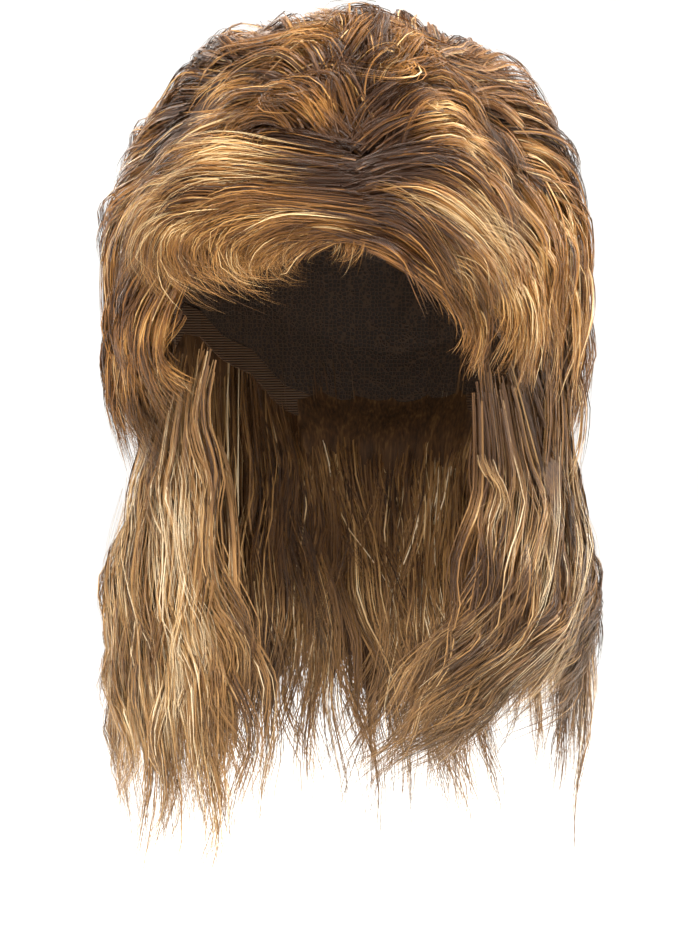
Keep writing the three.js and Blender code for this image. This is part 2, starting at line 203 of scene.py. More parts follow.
def walk(bearing, fall, heading, curl, length, away, droop):
    """Paths over the form: points, outward directions, directions across, heights of the hair."""
    point = form_point(bearing, fall)
    normal = outward(bearing, fall)
    first = point - form_point(*SPRING) if away else UP + 0.0 * point
    direction = turned(flat_on(normal, first), normal, heading)
    stops = []
    for step in range(STEPS + 1):
        b, f = place_of(point)
        normal = outward(b, f)
        direction = flat_on(normal, direction)
        if step:
            direction = turned(direction, normal, curl / STEPS)
        point = form_point(b, f)
        stops.append((point, normal, np.cross(direction, normal), puff(b, f)))
        point = point + direction * (length / STEPS)[:, None]
        direction = direction - UP * (droop / STEPS)
    return [np.stack(part, axis=1) for part in zip(*stops)]


def drawn(paths, share, begin, end):
    """Paths between drawn ones, as the same four things: share 0 to 1 runs from first to last."""
    keys = np.stack([form_point(*np.array(path, dtype=float).T) for path in paths])
    place = share * (len(keys) - 1)
    low = np.minimum(place.astype(int), len(keys) - 2)
    blend = (place - low)[:, None, None]
    stops = keys[low] * (1.0 - blend) + keys[low + 1] * blend
    last = stops.shape[1] - 1
    spot = spread((begin, end), np.linspace(0.0, 1.0, STEPS + 1)[:, None]).T * last
    step = np.minimum(spot.astype(int), last - 1)
    t = (spot - step)[..., None]
    lock = np.arange(len(stops))[:, None]
    a, b, c, d = (stops[lock, np.clip(step + shift, 0, last)] for shift in (-1, 0, 1, 2))
    bend = (c - a) * t + (2.0 * a - 5.0 * b + 4.0 * c - d) * t ** 2 + (3.0 * b - 3.0 * c + d - a) * t ** 3
    bearing, fall = place_of(b + 0.5 * bend)
    point = form_point(bearing, fall)
    normal = outward(bearing, fall)
    across = unit(np.cross(np.gradient(point, axis=1), normal))
    return [point, normal, across, puff(bearing, fall)]


def drift(points, seed, size=85.0):
    """A smooth number from -1 to 1 over space, so that neighbouring locks stray together."""
    rng = np.random.default_rng(seed)
    total = 0.0
    for _ in range(4):
        aim = unit(rng.normal(size=3)) * 2 * np.pi / (size * rng.uniform(0.6, 1.4))
        total = total + np.sin(points @ aim + rng.uniform(0, 2 * np.pi))
    return total / 2.2

# %% [markdown]
# ## Naming nodes as Python expressions
# Trees of nodes are easier to read as sums. A Value wraps a socket, and + - * on it add Math nodes.
# A Tree adds any other node: its settings first, because they decide which sockets it has, and then
# the numbers or links of its sockets.

# %% Node helpers
class Value:
    """A socket that takes part in sums."""

    def __init__(self, tree, socket):
        self.tree = tree
        self.socket = socket

    def math(self, operation, *others):
        return self.tree.add("ShaderNodeMath", {"operation": operation}, dict(enumerate((self, *others))))

    def __add__(self, other):
        return self.math("ADD", other)

    def __sub__(self, other):
        return self.math("SUBTRACT", other)

    def __rsub__(self, other):
        return self.tree.add("ShaderNodeMath", {"operation": "SUBTRACT"}, {0: other, 1: self})

    def __mul__(self, other):
        return self.math("MULTIPLY", other)

    __radd__ = __add__
    __rmul__ = __mul__


class Tree:
    """Adds nodes to a node tree."""

    def __init__(self, nodes):
        self.nodes = nodes

    def add(self, kind, settings=None, sockets=None, out=0):
        node = self.nodes.nodes.new(kind)
        for name, setting in (settings or {}).items():
            if name == "stops":
                self.set_stops(node.color_ramp, setting)
            else:
                setattr(node, name, setting)
        for key, given in (sockets or {}).items():
            socket = self.find(node, key)
            if isinstance(given, Value):
                self.nodes.links.new(given.socket, socket)
            else:
                socket.default_value = given
        usable = [socket for socket in node.outputs if socket.enabled]
        if not usable:
            return node
        return Value(self, usable[out] if isinstance(out, int) else node.outputs[out])

    def find(self, node, key):
        """A socket by its name or its place among those that the settings leave in use."""
        usable = [socket for socket in node.inputs if socket.enabled]
        if isinstance(key, int):
            return usable[key]
        return next(socket for socket in usable if key in (socket.name, socket.identifier))

    def set_stops(self, ramp, stops):
        while len(ramp.elements) < len(stops):
            ramp.elements.new(0.5)
        for element, (place, colour) in zip(ramp.elements, stops):
            element.position = place
            element.color = (*colour, 1.0)

    def mix_colour(self, share, first, second):
        return self.add(
            "ShaderNodeMix", {"data_type": "RGBA"}, {"Factor": share, "A": first, "B": second}
        )

    def vector(self, operation, *given):
        return self.add("ShaderNodeVectorMath", {"operation": operation}, dict(enumerate(given)))

    def scale(self, vector, share):
        return self.add("ShaderNodeVectorMath", {"operation": "SCALE"}, {"Vector": vector, "Scale": share})


def srgb(red, green, blue):
    """A colour as seen on screen, 0 to 255, in the linear values that shaders use."""
    shares = (channel / 255 for channel in (red, green, blue))
    return tuple(s / 12.92 if s <= 0.04045 else ((s + 0.055) / 1.055) ** 2.4 for s in shares)


# %% [markdown]
# ## Fibre finish
# Costume hair is a blend: most fibres are golden brown, some are darker, some coppery and some
# nearly white, and each is as glossy as nylon. A ribbon of the model stands for a few fibres side
# by side. Its UV map gives its tone as u, which a colour ramp turns into the blend's shades, and
# its way from root to tip as v. Noise that is fine along u draws the single fibres on the ribbon.
# Roots are darker, partly their own colour and partly painted shade in the hair, and tips paler.

# %% Fibre materials
BAKE_MAP = "OFBake"


def new_material(name):
    material = bpy.data.materials.new(name)
    material.use_nodes = True
    material.node_tree.nodes.clear()
    return material, Tree(material.node_tree)


def surface(tree, colour, roughness, normal=None, **fixed):
    sockets = {"Base Color": colour, "Roughness": roughness, **fixed}
    if normal is not None:
        sockets["Normal"] = normal
    shader = tree.add("ShaderNodeBsdfPrincipled", {}, sockets)
    tree.add("ShaderNodeOutputMaterial", {}, {"Surface": shader})


# Fibres side by side on a ribbon, and how much of the map's width they take.
STRANDS = 150.0
RIBBON_SPAN = 0.05
# How far a fibre's shade strays, and how strongly roots and tips take their own shades.
SHADE_STRAY = 0.9
# The roots' darker shade is partly the fibres' colour and partly painted shade deep in the hair.
ROOT_MIX = 0.6
TIP_MIX = 0.1


def fibre_material(name, blend, root_colour_and_shade, tip_shade):
    """Tone picks a shade of the blend. Roots are darker, partly painted shade, and tips paler."""
    material, tree = new_material(name)
    uv = tree.add("ShaderNodeUVMap", {"uv_map": BAKE_MAP})
    tone = tree.add("ShaderNodeSeparateXYZ", {}, {0: uv}, "X")
    along = tree.add("ShaderNodeSeparateXYZ", {}, {0: uv}, "Y")
    across = tree.add("ShaderNodeCombineXYZ", {}, {"X": tone * STRANDS, "Y": along * 5.0})
    strand = tree.add("ShaderNodeTexNoise", {}, {"Vector": across, "Scale": 1.0, "Detail": 2.0})
    shade = tree.add("ShaderNodeValToRGB", {"stops": blend}, {0: tone + (strand - 0.5) * SHADE_STRAY})
    rooted = tree.add("ShaderNodeMapRange", {}, {"Value": along, "From Min": 0.0, "From Max": 0.28})
    # Roots mix towards a dark shade: partly their colour, partly painted shade deep in the hair.
    colour = tree.mix_colour((1.0 - rooted) * ROOT_MIX, shade, (*root_colour_and_shade, 1.0))
    tipped = tree.add("ShaderNodeMapRange", {}, {"Value": along, "From Min": 0.55, "From Max": 1.0})
    colour = tree.mix_colour(tipped * TIP_MIX, colour, (*tip_shade, 1.0))
    bump = tree.add("ShaderNodeBump", {}, {"Strength": 0.7, "Distance": 0.0003, "Height": strand})
    surface(tree, colour, 0.3, bump, **{"Specular IOR Level": 0.34})
    return material


CROWN_BLEND = [
    (0.0, srgb(48, 25, 8)),
    (0.2, srgb(88, 53, 20)),
    (0.42, srgb(136, 90, 40)),
    (0.62, srgb(168, 116, 56)),
    (0.8, srgb(208, 160, 94)),
    (1.0, srgb(250, 220, 168)),
]
TAIL_BLEND = [
    (0.0, srgb(54, 33, 16)),
    (0.2, srgb(98, 66, 36)),
    (0.42, srgb(140, 101, 58)),
    (0.62, srgb(172, 128, 76)),
    (0.8, srgb(210, 172, 118)),
    (1.0, srgb(252, 232, 196)),
]
crown_fibre = fibre_material("crown_fibre", CROWN_BLEND, srgb(52, 27, 9), srgb(216, 170, 108))
tail_fibre = fibre_material("tail_fibre", TAIL_BLEND, srgb(74, 47, 24), srgb(228, 194, 140))
FINISH = {"crown_hair": crown_fibre, "tail_hair": tail_fibre}
print("fibre materials:", [material.name for material in FINISH.values()])

# %% [markdown]
# ## From locks to fibres
# A lock is one guide line, and Geometry Nodes turn it into fibres. The tree copies the guide, moves
# each copy to its own place in the lock's oval section, bends and trims it a little, and sweeps
# a flat two-point profile along it. A flat ribbon has a fiftieth of the faces of a round hair
# and catches light as the flattened fibres of real costume hair do. The guide's points carry what
# the tree needs: which way is across the lock, which way its top faces, and half its width and
# depth there. The fibres at a lock's edges face sideways, which rounds it.

# %% The fibre tree
def named(tree, name, kind="FLOAT"):
    return tree.add("GeometryNodeInputNamedAttribute", {"data_type": kind}, {"Name": name})


def per_fibre(tree, kind, low, high, seed):
    """One random number or vector for each whole fibre."""
    picked = tree.add(
        "FunctionNodeRandomValue", {"data_type": kind}, {"Min": low, "Max": high, "Seed": seed}
    )
    return tree.add("GeometryNodeFieldOnDomain", {"domain": "CURVE", "data_type": kind}, {0: picked})


def stored(tree, geometry, name, value, kind="FLOAT", domain="POINT"):
    return tree.add(
        "GeometryNodeStoreNamedAttribute",
        {"data_type": kind, "domain": domain},
        {"Geometry": geometry, "Name": name, "Value": value},
    )


# How far the fibres at a lock's edges turn sideways, and how far any fibre tilts, in radians.
ROUNDED = 0.8
TILT = 0.65
# A fibre's frizz is noise over space, and fibres of one lock read it this far apart, in metres.
FRIZZ_SCALE = 28.0
FRIZZ_APART = 0.02
LATEST_ROOT = 0.12
THICKNESS = (0.5, 1.2)
# Most fibres stray a little from their lock's tone, and a few stray far.
TONE_STRAY = 0.16
# The far strays make the blend's darkest and palest fibres; the pale ones also stand in as painted glints.
RARE_STRAY = 0.5
RARENESS = 7.0


def fibre_tree():
    group = bpy.data.node_groups.new("fibres_from_locks", "GeometryNodeTree")
    inputs = (
        ("Locks", "NodeSocketGeometry"),
        ("Fibres", "NodeSocketInt"),
        ("Stops", "NodeSocketInt"),
        ("Width", "NodeSocketFloat"),
        ("Frizz", "NodeSocketFloat"),
        ("Stray", "NodeSocketFloat"),
        ("Shortest", "NodeSocketFloat"),
        ("Finish", "NodeSocketMaterial"),
    )
    for name, kind in inputs:
        group.interface.new_socket(name, in_out="INPUT", socket_type=kind)
    group.interface.new_socket("Hair", in_out="OUTPUT", socket_type="NodeSocketGeometry")
    tree = Tree(group)
    entry = group.nodes.new("NodeGroupInput")
    given = {name: Value(tree, entry.outputs[name]) for name, _ in inputs}

    guides = tree.add("GeometryNodeMeshToCurve", {}, {"Mesh": given["Locks"]})
    fibres = tree.add(
        "GeometryNodeDuplicateElements",
        {"domain": "SPLINE"},
        {"Geometry": guides, "Amount": given["Fibres"]},
    )
    along = named(tree, "along")
    wide = named(tree, "wide")
    across = named(tree, "across", "FLOAT_VECTOR")
    face = named(tree, "face", "FLOAT_VECTOR")
    half = named(tree, "half")
    deep = named(tree, "deep")
    place = per_fibre(tree, "FLOAT_VECTOR", (-1.0, -1.0, -1.0), (1.0, 1.0, 1.0), 1)
    place_x = tree.add("ShaderNodeSeparateXYZ", {}, {0: place}, "X")
    place_y = tree.add("ShaderNodeSeparateXYZ", {}, {0: place}, "Y")
    place_z = tree.add("ShaderNodeSeparateXYZ", {}, {0: place}, "Z")
    sideways = tree.scale(across, half * place_x)
    upwards = tree.scale(face, deep * place_y)
    leaving = tree.scale(across, given["Stray"] * place_z * place_z * place_z * along * along)
    here = tree.add("GeometryNodeInputPosition")
    shift = tree.scale(place, FRIZZ_APART)
    wave = tree.add(
        "ShaderNodeTexNoise",
        {"noise_dimensions": "3D"},
        {"Vector": tree.vector("ADD", here, shift), "Scale": FRIZZ_SCALE, "Detail": 1.0},
        "Color",
    )
    wander = tree.scale(tree.vector("SUBTRACT", wave, (0.5, 0.5, 0.5)), given["Frizz"] * along)
    offset = tree.vector("ADD", tree.vector("ADD", sideways, upwards), tree.vector("ADD", leaving, wander))
    fibres = tree.add("GeometryNodeSetPosition", {}, {"Geometry": fibres, "Offset": offset})

    ending = per_fibre(tree, "FLOAT", given["Shortest"], 1.0, 2)
    beginning = per_fibre(tree, "FLOAT", 0.0, LATEST_ROOT, 3)
    fibres = tree.add("GeometryNodeTrimCurve", {}, {"Curve": fibres, "Start": beginning, "End": ending})
    fibres = tree.add("GeometryNodeResampleCurve", {}, {"Curve": fibres, "Count": given["Stops"]})
    facing = tree.vector("ADD", face, tree.scale(across, place_x * ROUNDED))
    fibres = tree.add("GeometryNodeSetCurveNormal", {"mode": "FREE"}, {"Curve": fibres, "Normal": facing})
    tilt = per_fibre(tree, "FLOAT", -TILT, TILT, 4)
    fibres = tree.add("GeometryNodeSetCurveTilt", {}, {"Curve": fibres, "Tilt": tilt})
    mixed = per_fibre(tree, "FLOAT", -1.0, 1.0, 5)
    tone = named(tree, "tone") + mixed * TONE_STRAY + mixed.math("POWER", RARENESS) * RARE_STRAY
    tone = tone.math("MAXIMUM", 0.0).math("MINIMUM", 1.0 - RIBBON_SPAN)
    fibres = stored(tree, fibres, "tone", tone)
    own = tree.add("GeometryNodeSplineParameter")
    thin = (1.0 - own * own * own * 0.9) * per_fibre(tree, "FLOAT", *THICKNESS, 6) * wide
    fibres = stored(tree, fibres, "thin", thin)

    edge = tree.add("GeometryNodeCurvePrimitiveLine", {}, {"Start": (0.0, -0.5, 0.0), "End": (0.0, 0.5, 0.0)})
    edge = stored(tree, edge, "edge", tree.add("GeometryNodeSplineParameter"))
    hair = tree.add(
        "GeometryNodeCurveToMesh",
        {},
        {"Curve": fibres, "Profile Curve": edge, "Scale": named(tree, "thin") * given["Width"]},
    )
    u = named(tree, "tone") + named(tree, "edge") * RIBBON_SPAN
    bake = tree.add("ShaderNodeCombineXYZ", {}, {"X": u, "Y": named(tree, "along")})
    hair = stored(tree, hair, BAKE_MAP, bake, "FLOAT2", "CORNER")
    hair = tree.add("GeometryNodeSetShadeSmooth", {}, {"Geometry": hair, "Shade Smooth": True})
    hair = tree.add("GeometryNodeRealizeInstances", {}, {"Geometry": hair})
    hair = tree.add("GeometryNodeSetMaterial", {}, {"Geometry": hair, "Material": given["Finish"]})
    leave = group.nodes.new("NodeGroupOutput")
    group.links.new(hair.socket, leave.inputs["Hair"])
    return group


FIBRES = fibre_tree()
print("fibre tree:", len(FIBRES.nodes), "nodes")

# %% [markdown]
# ## The wig-maker's table of wefts
# Each row dresses one patch of the cap. Its locks are spread over a range of bearings and falls.
# Heading 0 grows up the head, 180 hangs, and 90 runs to the wearer's right at the front; with
# `away` it is counted from the way that leads from the spring. A `combed` row gives drawn locks
# instead, each as pairs of bearing and fall from root to tip, and its locks begin and end at shares
# of them. Lifts are shares of the hair's height, and the other lengths are millimetres. What a row
# doesn't say is as in ROW.

# %% Rows of locks
SHORT = LAYER_LENGTH
LONG = TAIL_LENGTH
# Scatter moves a drawn lock sideways and toss swings a lock's free end, in millimetres. Taper is the
# share of its width that a lock loses by its tip.
ROW = {
    "bearing": (0.0, 0.0),
    "fall": (1.0, 1.0),
    "heading": (180.0, 180.0),
    "combed": None,
    "begin": (0.0, 0.25),
    "end": (0.75, 1.0),
    "away": False,
    "length": (SHORT, SHORT),
    "curl": (0.0, 0.0),
    "droop": 0.0,
    "astray": 12.0,
    "root": 0.5,
    "lift": (0.75, 1.02),
    "arch": 0.0,
    "half": 5.0,
    "wide": 1.0,
    "deep": 2.5,
    "taper": 0.55,
    "wave": 3.0,
    "loose": 3.0,
    "scatter": 0.0,
    "toss": 0.0,
    "crimp": 1.2,
    "tease": 0.06,
    "tone": (0.19, 0.5),
    "locks": 20,
}

WEFTS = {
    "tail_back": [
        dict(
            bearing=(138, 222), fall=(1.0, 1.2), length=(0.9 * LONG, LONG), astray=3.0,
            root=0.0, lift=(-0.06, 0.0), tone=(0.0, 0.34), locks=50,
        ),
        dict(bearing=(138, 222), fall=(1.05, 1.25), length=(0.9 * LONG, LONG), astray=5.0, locks=50),
        dict(
            bearing=(140, 220), fall=(1.3, 1.8), length=(0.6 * LONG, 0.7 * LONG), astray=5.0,
            lift=(0.9, 1.08), locks=50,
        ),
    ],
    "tail_left": [
        dict(
            bearing=(80, 144), fall=(1.0, 1.2), length=(0.75 * LONG, 0.9 * LONG), astray=3.0,
            root=0.0, lift=(-0.06, 0.0), tone=(0.0, 0.3), locks=40,
        ),
        dict(bearing=(96, 144), fall=(1.1, 1.4), length=(0.7 * LONG, 0.85 * LONG), astray=5.0, locks=34),
        # This row and the combed one are in darker tones: painted shade behind the neck, where this tail
        # hangs.
        dict(
            bearing=(84, 114), fall=(1.15, 1.45), length=(0.84 * LONG, 0.84 * LONG), astray=4.0,
            lift=(0.6, 0.95), taper=0.7, tone=(0.02, 0.34), locks=32,
        ),
        dict(
            combed=[
                [(54, 1.19), (52, 1.69), (44, 2.11), (35, 2.42), (25, 2.70), (6, 2.98)],
                [(64, 1.20), (73, 1.71), (63, 2.15), (51, 2.48), (36, 2.75), (13, 2.99)],
                [(77, 1.12), (99, 1.62), (99, 2.08), (71, 2.37), (52, 2.66), (26, 2.94)],
                [(85, 1.08), (100, 1.49), (99, 1.97), (98, 2.26), (76, 2.53), (47, 2.70)],
                [(120, 1.08), (118, 1.49), (114, 1.90), (106, 2.20), (92, 2.46), (72, 2.68)],
            ],
            root=0.35, lift=(0.85, 1.08), begin=(0.0, 0.35), end=(0.74, 1.0), crimp=2.5, wave=4.5,
            toss=8.0, taper=0.7, tone=(-0.08, 0.2), locks=90,
        ),
        dict(
            combed=[
                [(48, 1.54), (51, 1.66), (54, 1.81), (50, 1.94)],
                [(50, 1.54), (53, 1.66), (55, 1.81), (52, 1.94)],
            ],
            root=0.85, lift=(0.9, 1.0), half=2.0, wide=0.4, tone=(0.6, 0.75), locks=2,
        ),
        dict(
            combed=[
                [(60, 1.5), (56, 1.8), (48, 2.1), (36, 2.4), (22, 2.7)],
                [(96, 1.5), (98, 1.9), (80, 2.3), (60, 2.6), (40, 2.85)],
            ],
            root=0.9, lift=(1.05, 1.2), half=9.0, deep=5.0, wide=0.25, tone=(0.5, 0.8), loose=12.0, locks=5,
        ),
    ],
    "tail_right": [
        dict(
            bearing=(-144, -70), fall=(1.0, 1.2), length=(0.9 * LONG, LONG), astray=3.0,
            root=0.0, lift=(-0.06, 0.0), tone=(0.0, 0.3), locks=40,
        ),
        dict(bearing=(-144, -96), fall=(1.1, 1.4), length=(0.85 * LONG, LONG), astray=5.0, locks=40),
        dict(
            combed=[
                [(-26, 1.10), (-28, 1.52), (-19, 2.04), (-12, 2.45), (-8, 2.82), (-13, 3.34)],
                [(-34, 1.14), (-40, 1.69), (-30, 2.21), (-24, 2.66), (-21, 3.05), (-29, 3.52)],
                [(-43, 1.14), (-60, 1.72), (-48, 2.23), (-41, 2.67), (-38, 3.04), (-52, 3.48)],
                [(-60, 1.20), (-76, 1.85), (-68, 2.25), (-60, 2.64), (-57, 2.94), (-84, 3.34)],
                [(-95, 1.15), (-100, 1.80), (-98, 2.25), (-95, 2.64), (-92, 3.02), (-95, 3.38)],
            ],
            root=0.35, lift=(0.8, 1.08), begin=(0.0, 0.35), end=(0.7, 1.0), wave=6.0, crimp=3.0, toss=12.0,
            taper=0.72, tone=(0.24, 0.6), locks=90,
        ),
        dict(
            combed=[
                [(-30, 1.5), (-26, 1.9), (-20, 2.4), (-14, 2.8)],
                [(-62, 1.5), (-66, 2.0), (-54, 2.5), (-62, 3.1)],
            ],
            root=0.9, lift=(1.0, 1.15), half=9.0, deep=5.0, wide=0.25, tone=(0.7, 0.95), loose=12.0, locks=8,
        ),
    ],
    "back_layer": [
        dict(bearing=(98, 262), fall=(0.6, 0.8), curl=(5, 5), arch=0.1, locks=80),
        dict(bearing=(98, 262), fall=(0.8, 1.1), length=(0.8 * SHORT, SHORT), arch=0.15, locks=100),
    ],
    "side_left": [
        dict(
            bearing=(70, 114), fall=(0.6, 0.86), heading=(190, 182), curl=(-14, -14),
            length=(0.6 * SHORT, 0.85 * SHORT), arch=0.1, tone=(0.28, 0.62), locks=46,
        ),
        dict(
            combed=[
                [(40, 0.79), (46, 0.88), (51, 0.97), (55, 1.09), (55, 1.27)],
                [(50, 0.76), (55, 0.87), (59, 0.97), (61, 1.15), (59, 1.36)],
                [(59, 0.73), (64, 0.86), (67, 0.96), (67, 1.12), (63, 1.40)],
                [(67, 0.72), (71, 0.82), (73, 0.91), (76, 0.98), (84, 1.03)],
            ],
            lift=(0.8, 1.02), begin=(0.0, 0.4), crimp=2.5, toss=7.0, tone=(0.28, 0.64), locks=60,
        ),
        dict(
            combed=[
                [(28, 0.87), (36, 0.91), (42, 0.97), (45, 1.04), (46, 1.15), (44, 1.26)],
                [(33, 0.87), (40, 0.92), (47, 0.98), (49, 1.08), (49, 1.21), (46, 1.31)],
            ],
            lift=(0.75, 0.95), begin=(0.1, 0.4), half=3.0, locks=14,
        ),
    ],
    "side_right": [
        dict(
            bearing=(-114, -60), fall=(0.6, 0.9), heading=(182, 176), curl=(10, 30), arch=0.1,
            tone=(0.1, 0.4), locks=60,
        ),
        dict(
            combed=[
                [(-28, 0.85), (-33, 0.95), (-35, 1.06), (-33, 1.23), (-27, 1.36)],
                [(-35, 0.83), (-42, 0.94), (-46, 1.09), (-44, 1.35), (-33, 1.49)],
                [(-42, 0.79), (-50, 0.92), (-55, 1.11), (-56, 1.40), (-44, 1.60)],
                [(-55, 0.79), (-66, 0.92), (-72, 1.11), (-74, 1.40), (-68, 1.62)],
            ],
            lift=(0.8, 1.02), begin=(0.0, 0.4), crimp=2.5, toss=7.0, tone=(0.06, 0.36), locks=70,
        ),
    ],
    "fringe": [
        dict(
            combed=[
                [(18, 0.69), (1, 0.65), (-18, 0.65), (-35, 0.70), (-47, 0.80), (-55, 0.94)],
                [(21, 0.73), (0, 0.72), (-17, 0.74), (-34, 0.78), (-46, 0.88), (-55, 1.00)],
                [(22, 0.76), (0, 0.76), (-17, 0.77), (-30, 0.83), (-38, 0.92), (-42, 1.05)],
            ],
            root=0.7, lift=(0.85, 1.12), begin=(0.0, 0.5), tease=0.14, crimp=2.5, half=4.0, wide=0.9,
            scatter=4.0, toss=8.0, tone=(0.06, 0.32), locks=90,
        ),
        dict(
            combed=[
                [(22, 0.77), (0, 0.76), (-19, 0.78), (-36, 0.83), (-42, 0.91), (-32, 0.98)],
                [(24, 0.80), (2, 0.80), (-13, 0.81), (-25, 0.86), (-24, 0.93), (-14, 0.97)],
                [(26, 0.84), (9, 0.82), (-3, 0.84), (-10, 0.88), (-8, 0.93), (1, 0.95)],
            ],
            root=0.75, lift=(0.9, 1.22), begin=(0.0, 0.45), half=3.5, wide=0.65, toss=5.0,
            tone=(0.1, 0.52), locks=90,
        ),
        dict(
            combed=[
                [(14, 0.86), (22, 0.88), (31, 0.92), (37, 0.96), (43, 1.03), (46, 1.14)],
                [(13, 0.84), (22, 0.86), (31, 0.90), (38, 0.95), (45, 1.02), (48, 1.15)],
            ],
            root=0.6, lift=(0.75, 0.95), begin=(0.0, 0.5), half=4.0, locks=26,
        ),
        dict(
            combed=[
                [(26, 0.87), (14, 0.84), (2, 0.85), (-6, 0.88), (-12, 0.92), (-10, 0.97)],
                [(25, 0.88), (15, 0.86), (5, 0.86), (-1, 0.88), (-4, 0.92), (-1, 0.95)],
            ],
            root=0.65, lift=(0.75, 0.95), begin=(0.0, 0.5), half=3.0, wide=0.7, locks=30,
        ),
        dict(
            combed=[
                [(12, 0.76), (0, 0.76), (-17, 0.77), (-30, 0.83), (-38, 0.92), (-28, 0.97)],
                [(10, 0.66), (-1, 0.66), (-15, 0.68), (-32, 0.76), (-47, 0.88), (-50, 1.0)],
            ],
            root=0.9, lift=(1.1, 1.25), begin=(0.1, 0.6), half=8.0, deep=4.0, wide=0.2, loose=14.0,
            tone=(0.65, 0.95), locks=7,
        ),
        dict(
            combed=[
                [(14, 0.80), (24, 0.82), (34, 0.87), (42, 0.95), (46, 1.06)],
                [(18, 0.72), (30, 0.68), (44, 0.72), (54, 0.84), (60, 1.0)],
            ],
            root=0.9, lift=(1.1, 1.25), begin=(0.0, 0.6), half=8.0, deep=4.0, wide=0.2, loose=14.0,
            tone=(0.65, 0.95), locks=7,
        ),
        dict(
            combed=[
                [(10, 0.82), (12, 0.86), (11, 0.91), (6, 0.94)],
                [(15, 0.82), (16, 0.87), (14, 0.91), (11, 0.93)],
                [(20, 0.83), (21, 0.85), (20, 0.88), (19, 0.90)],
            ],
            root=0.5, lift=(0.6, 0.9), half=5.0, deep=1.5, wide=0.22, wave=1.0, tone=(0.3, 0.5), locks=4,
        ),
        dict(
            combed=[
                [(20, 0.83), (8, 0.83), (-4, 0.87), (-9, 0.91), (-5, 0.95), (3, 0.96)],
                [(22, 0.83), (13, 0.84), (7, 0.87), (5, 0.91), (8, 0.93), (12, 0.94)],
            ],
            root=0.6, lift=(0.8, 1.0), begin=(0.0, 0.3), half=6.0, deep=1.5, wide=0.28, tone=(0.3, 0.6),
            locks=9,
        ),
        dict(
            combed=[
                [(10, 0.83), (21, 0.83), (30, 0.87), (35, 0.92), (41, 0.99), (45, 1.08)],
                [(11, 0.80), (26, 0.78), (36, 0.84), (44, 0.91), (49, 1.00), (52, 1.15)],
                [(13, 0.76), (27, 0.71), (39, 0.73), (49, 0.81), (55, 0.91), (57, 1.04)],
                [(15, 0.71), (27, 0.66), (39, 0.65), (51, 0.71), (59, 0.81), (64, 0.93)],
            ],
            root=0.7, lift=(0.85, 1.12), begin=(0.0, 0.5), tease=0.14, crimp=2.5, half=4.0, wide=0.9,
            scatter=3.0, toss=5.0, tone=(0.06, 0.36), locks=100,
        ),
    ],
    "crown": [
        dict(
            bearing=(0, 360), fall=(0.02, 0.2), away=True, heading=(0, 0), length=(0.6 * SHORT, 0.6 * SHORT),
            root=0.66, lift=(0.68, 0.92), arch=0.1, tease=0.12, crimp=2.0, wave=5.0, toss=10.0, locks=40,
        ),
        dict(
            bearing=(-70, 80), fall=(0.22, 0.36), away=True, heading=(0, 0),
            length=(0.6 * SHORT, 0.6 * SHORT), root=0.75, arch=0.1, tease=0.12, crimp=2.0, wave=5.0, locks=34,
        ),
        dict(
            bearing=(56, 304), fall=(0.12, 0.62), away=True, heading=(0, 0),
            length=(0.65 * SHORT, 0.65 * SHORT), root=0.6, arch=0.15, tease=0.14, droop=0.4,
            crimp=2.0, wave=5.0, toss=10.0, locks=106,
        ),
        dict(
            bearing=(-104, -44), fall=(0.35, 0.72), away=True, heading=(0, 0), toss=12.0,
            length=(0.6 * SHORT, 0.6 * SHORT), root=0.6, arch=0.15, tease=0.14, droop=0.6, locks=48,
        ),
        dict(
            bearing=(62, 112), fall=(0.35, 0.72), away=True, heading=(0, 0), toss=12.0,
            length=(0.6 * SHORT, 0.6 * SHORT), root=0.6, arch=0.15, tease=0.14, droop=0.6, locks=44,
        ),
        dict(
            combed=[
                [(16, 0.70), (4, 0.63), (-11, 0.62), (-25, 0.66), (-35, 0.74), (-41, 0.83)],
                [(17, 0.65), (7, 0.56), (-5, 0.52), (-20, 0.55), (-30, 0.63), (-35, 0.73)],
                [(18, 0.63), (13, 0.52), (5, 0.45), (-6, 0.42), (-18, 0.43), (-27, 0.49)],
                [(19, 0.61), (20, 0.51), (22, 0.43), (28, 0.37), (38, 0.36), (45, 0.41)],
                [(19, 0.64), (28, 0.55), (40, 0.51), (52, 0.52), (62, 0.59), (66, 0.69)],
                [(18, 0.68), (28, 0.62), (41, 0.60), (54, 0.65), (62, 0.75), (67, 0.86)],
            ],
            root=0.5, lift=(0.66, 0.95), begin=(0.0, 0.6), arch=0.15, tease=0.2, crimp=3.5, wave=5.5,
            loose=8.0, scatter=8.0, toss=14.0, half=5.5, deep=3.0, tone=(0.14, 0.4), locks=98,
        ),
        dict(
            combed=[
                [(19, 0.55), (8, 0.47), (-5, 0.43), (-21, 0.44), (-34, 0.51), (-41, 0.62)],
                [(19, 0.53), (13, 0.43), (1, 0.36), (-13, 0.35), (-27, 0.39), (-37, 0.47)],
                [(20, 0.52), (19, 0.42), (15, 0.31), (5, 0.25), (-6, 0.29), (-14, 0.36)],
                [(21, 0.52), (25, 0.42), (32, 0.33), (43, 0.30), (50, 0.36), (56, 0.44)],
                [(22, 0.53), (31, 0.45), (44, 0.41), (57, 0.44), (66, 0.52), (70, 0.62)],
                [(22, 0.56), (33, 0.51), (47, 0.50), (61, 0.56), (69, 0.66), (73, 0.78)],
            ],
            root=0.5, lift=(0.66, 0.95), begin=(0.0, 0.6), arch=0.15, tease=0.2, crimp=3.5, wave=5.5,
            loose=8.0, scatter=8.0, toss=14.0, half=5.5, deep=3.0, tone=(0.14, 0.42), locks=88,
        ),
    ],
}
